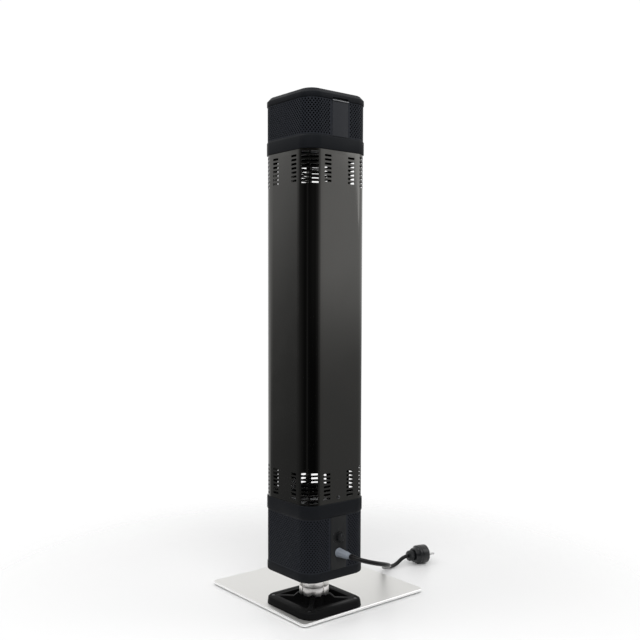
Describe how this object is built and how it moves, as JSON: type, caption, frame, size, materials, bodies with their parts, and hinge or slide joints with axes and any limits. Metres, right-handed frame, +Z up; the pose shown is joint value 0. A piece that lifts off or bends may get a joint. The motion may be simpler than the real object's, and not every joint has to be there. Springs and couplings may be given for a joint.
{
  "type": "infrared patio heater tower",
  "caption": "Free-standing square heater tower: slotted dark column between perforated housings, on a silver coupling over a ribbed pedestal and base plate, with mains lead and plug.",
  "frame": {"origin": "middle of the footprint on the floor, measured without the mains lead, its gland and its plug", "axes": "+Z up; -Y is the way the control face looks, the plate reaches out from under the tower towards +X and +Y"},
  "size_m": [0.491, 0.4036, 1.0032],
  "materials": {
    "polished_plate": "polished stainless sheet",
    "silver_coupling": "satin turned metal",
    "spigot_steel": "plain drawn tube",
    "black_plastic": "fine-textured moulding",
    "black_mesh": "powder-coated perforated sheet",
    "guard_wire": "powder-coated wire",
    "column_steel": "glossy dark metallic coat",
    "slate_plastic": "satin moulding",
    "gland_plastic": "satin moulding",
    "black_rubber": "matt",
    "mirror_aluminium": "polished",
    "quartz_glass": "clear amber tube",
    "ceramic_white": "unglazed",
    "zinc_steel": "zinc plated",
    "pin_metal": "plated"
  },
  "bodies": {
    "heater": {"base_plate": "polished_plate", "bottom_cap": "black_plastic", "cable_gland": "gland_plastic", "column_screw_1": "zinc_steel", "column_screw_2": "zinc_steel", "column_shell": "column_steel", "control_strip": "slate_plastic", "coupling_ring": "silver_coupling", "gland_nut": "gland_plastic", "guard_left": "guard_wire", "guard_right": "guard_wire", "lamp_cap_bottom_left": "ceramic_white", "lamp_cap_bottom_right": "ceramic_white", "lamp_cap_top_left": "ceramic_white", "lamp_cap_top_right": "ceramic_white", "lamp_holder_bottom_left": "zinc_steel", "lamp_holder_bottom_right": "zinc_steel", "lamp_holder_top_left": "zinc_steel", "lamp_holder_top_right": "zinc_steel", "lamp_left": "quartz_glass", "lamp_right": "quartz_glass", "lid": "black_plastic", "lower_bulkhead": "zinc_steel", "lower_collar": "black_plastic", "lower_grille": "black_mesh", "mains_cord": "black_rubber", "pedestal": "black_plastic", "pedestal_screw_1": "zinc_steel", "pedestal_screw_2": "zinc_steel", "pedestal_screw_3": "zinc_steel", "pedestal_screw_4": "zinc_steel", "plug_body": "black_rubber", "plug_grip_nut": "black_rubber", "plug_pin_1": "pin_metal", "plug_pin_2": "pin_metal", "reflector_left": "mirror_aluminium", "reflector_right": "mirror_aluminium", "rotary_switch": "black_plastic", "rubber_pad_1": "black_rubber", "rubber_pad_2": "black_rubber", "rubber_pad_3": "black_rubber", "rubber_pad_4": "black_rubber", "spigot_nut": "zinc_steel", "spigot_tube": "spigot_steel", "terminal_block": "ceramic_white", "tilt_switch_bracket": "zinc_steel", "upper_bulkhead": "zinc_steel", "upper_collar": "black_plastic", "upper_grille": "black_mesh", "upper_strip": "slate_plastic"},
    "knob": {"switch_knob": "black_plastic"},
    "ring": {"lock_ring": "silver_coupling"},
    "tilt_weight": {"tilt_pendulum": "zinc_steel"}
  },
  "joints": [
    {"name": "knob_turn", "type": "hinge", "parent": "heater", "child": "knob", "pos_m": [-0.074, -0.1597, 0.16], "axis": [0, -1, 0], "range_deg": [0, 120]},
    {"name": "lock_ring_turn", "type": "hinge", "parent": "heater", "child": "ring", "pos_m": [-0.074, -0.0797, 0.039], "axis": [0, 0, 1], "range_deg": [0, 45]},
    {"name": "tilt_weight_swing", "type": "hinge", "parent": "heater", "child": "tilt_weight", "pos_m": [-0.074, -0.0337, 0.1942], "axis": [1, 0, 0], "range_deg": [-12, 12]}
  ]
}
